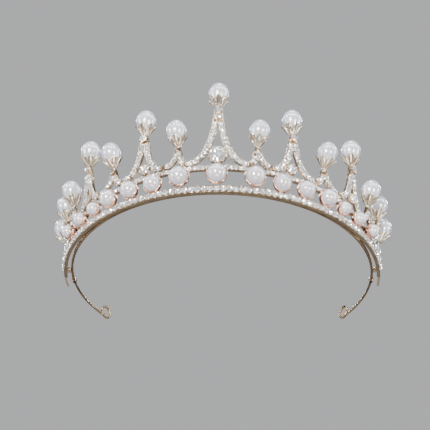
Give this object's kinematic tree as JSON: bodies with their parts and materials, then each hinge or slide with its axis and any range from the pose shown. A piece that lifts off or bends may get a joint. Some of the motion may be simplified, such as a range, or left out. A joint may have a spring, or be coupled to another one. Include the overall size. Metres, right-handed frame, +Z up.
{
  "type": "pearl tiara",
  "caption": "Open bridal tiara: a slim hair hoop with end loops carries a stone-set gallery of pointed arches, round pearls and drop pearls held in petal cups.",
  "frame": {"origin": "axis of the hair hoop's inner face, in the plane of the hoop's lower edge", "axes": "+Z up towards the drop pearls, -Y towards the front of the tiara, +X to the right as seen from the front; X = 0 is the mirror plane"},
  "size_m": [0.153, 0.1174, 0.0561],
  "materials": {
    "hoop_gold": "darkened gold plate",
    "champagne_gold_plate": "polished champagne gold plate",
    "rose_gold_plate": "polished rose gold plate",
    "round_pearl": "pearlescent lacquer with a pink cast",
    "drop_pearl": "satin pearlescent lacquer",
    "crystal": "clear faceted glass with a mirrored back"
  },
  "bodies": {
    "root": {"hair_hoop": "hoop_gold", "left_rear_wire": "hoop_gold", "right_rear_wire": "hoop_gold", "left_end_loop": "hoop_gold", "right_end_loop": "hoop_gold", "lower_rail": "champagne_gold_plate", "lower_rail_stones": "crystal", "upper_rail": "champagne_gold_plate", "upper_rail_stones": "crystal", "left_tail_strip": "champagne_gold_plate", "right_tail_strip": "champagne_gold_plate", "braze_blocks": "champagne_gold_plate", "hoop_end_beads": "rose_gold_plate", "centre_peak": "champagne_gold_plate", "left_short_peak_1": "champagne_gold_plate", "left_tall_peak_1": "champagne_gold_plate", "left_short_peak_2": "champagne_gold_plate", "left_tall_peak_2": "champagne_gold_plate", "left_short_peak_3": "champagne_gold_plate", "left_tall_peak_3": "champagne_gold_plate", "left_end_peak": "champagne_gold_plate", "right_short_peak_1": "champagne_gold_plate", "right_tall_peak_1": "champagne_gold_plate", "right_short_peak_2": "champagne_gold_plate", "right_tall_peak_2": "champagne_gold_plate", "right_short_peak_3": "champagne_gold_plate", "right_tall_peak_3": "champagne_gold_plate", "right_end_peak": "champagne_gold_plate", "arch_posts": "champagne_gold_plate", "centre_peak_stones": "crystal", "left_peak_stones": "crystal", "right_peak_stones": "crystal", "centre_stone_setting": "champagne_gold_plate", "centre_stone": "crystal", "accent_settings": "champagne_gold_plate", "accent_stones": "crystal", "neck_collets": "champagne_gold_plate", "neck_stones": "crystal", "large_pearl_cups": "rose_gold_plate", "medium_pearl_cups": "rose_gold_plate", "small_pearl_cups": "rose_gold_plate", "large_round_pearls": "round_pearl", "medium_round_pearls": "round_pearl", "small_round_pearls": "round_pearl", "round_pearl_pegs": "champagne_gold_plate", "centre_petal_cup": "champagne_gold_plate", "left_petal_cups": "champagne_gold_plate", "right_petal_cups": "champagne_gold_plate", "drop_pearl_pegs": "champagne_gold_plate", "centre_drop_pearl": "drop_pearl", "left_drop_pearls": "drop_pearl", "right_drop_pearls": "drop_pearl"}
  },
  "joints": []
}
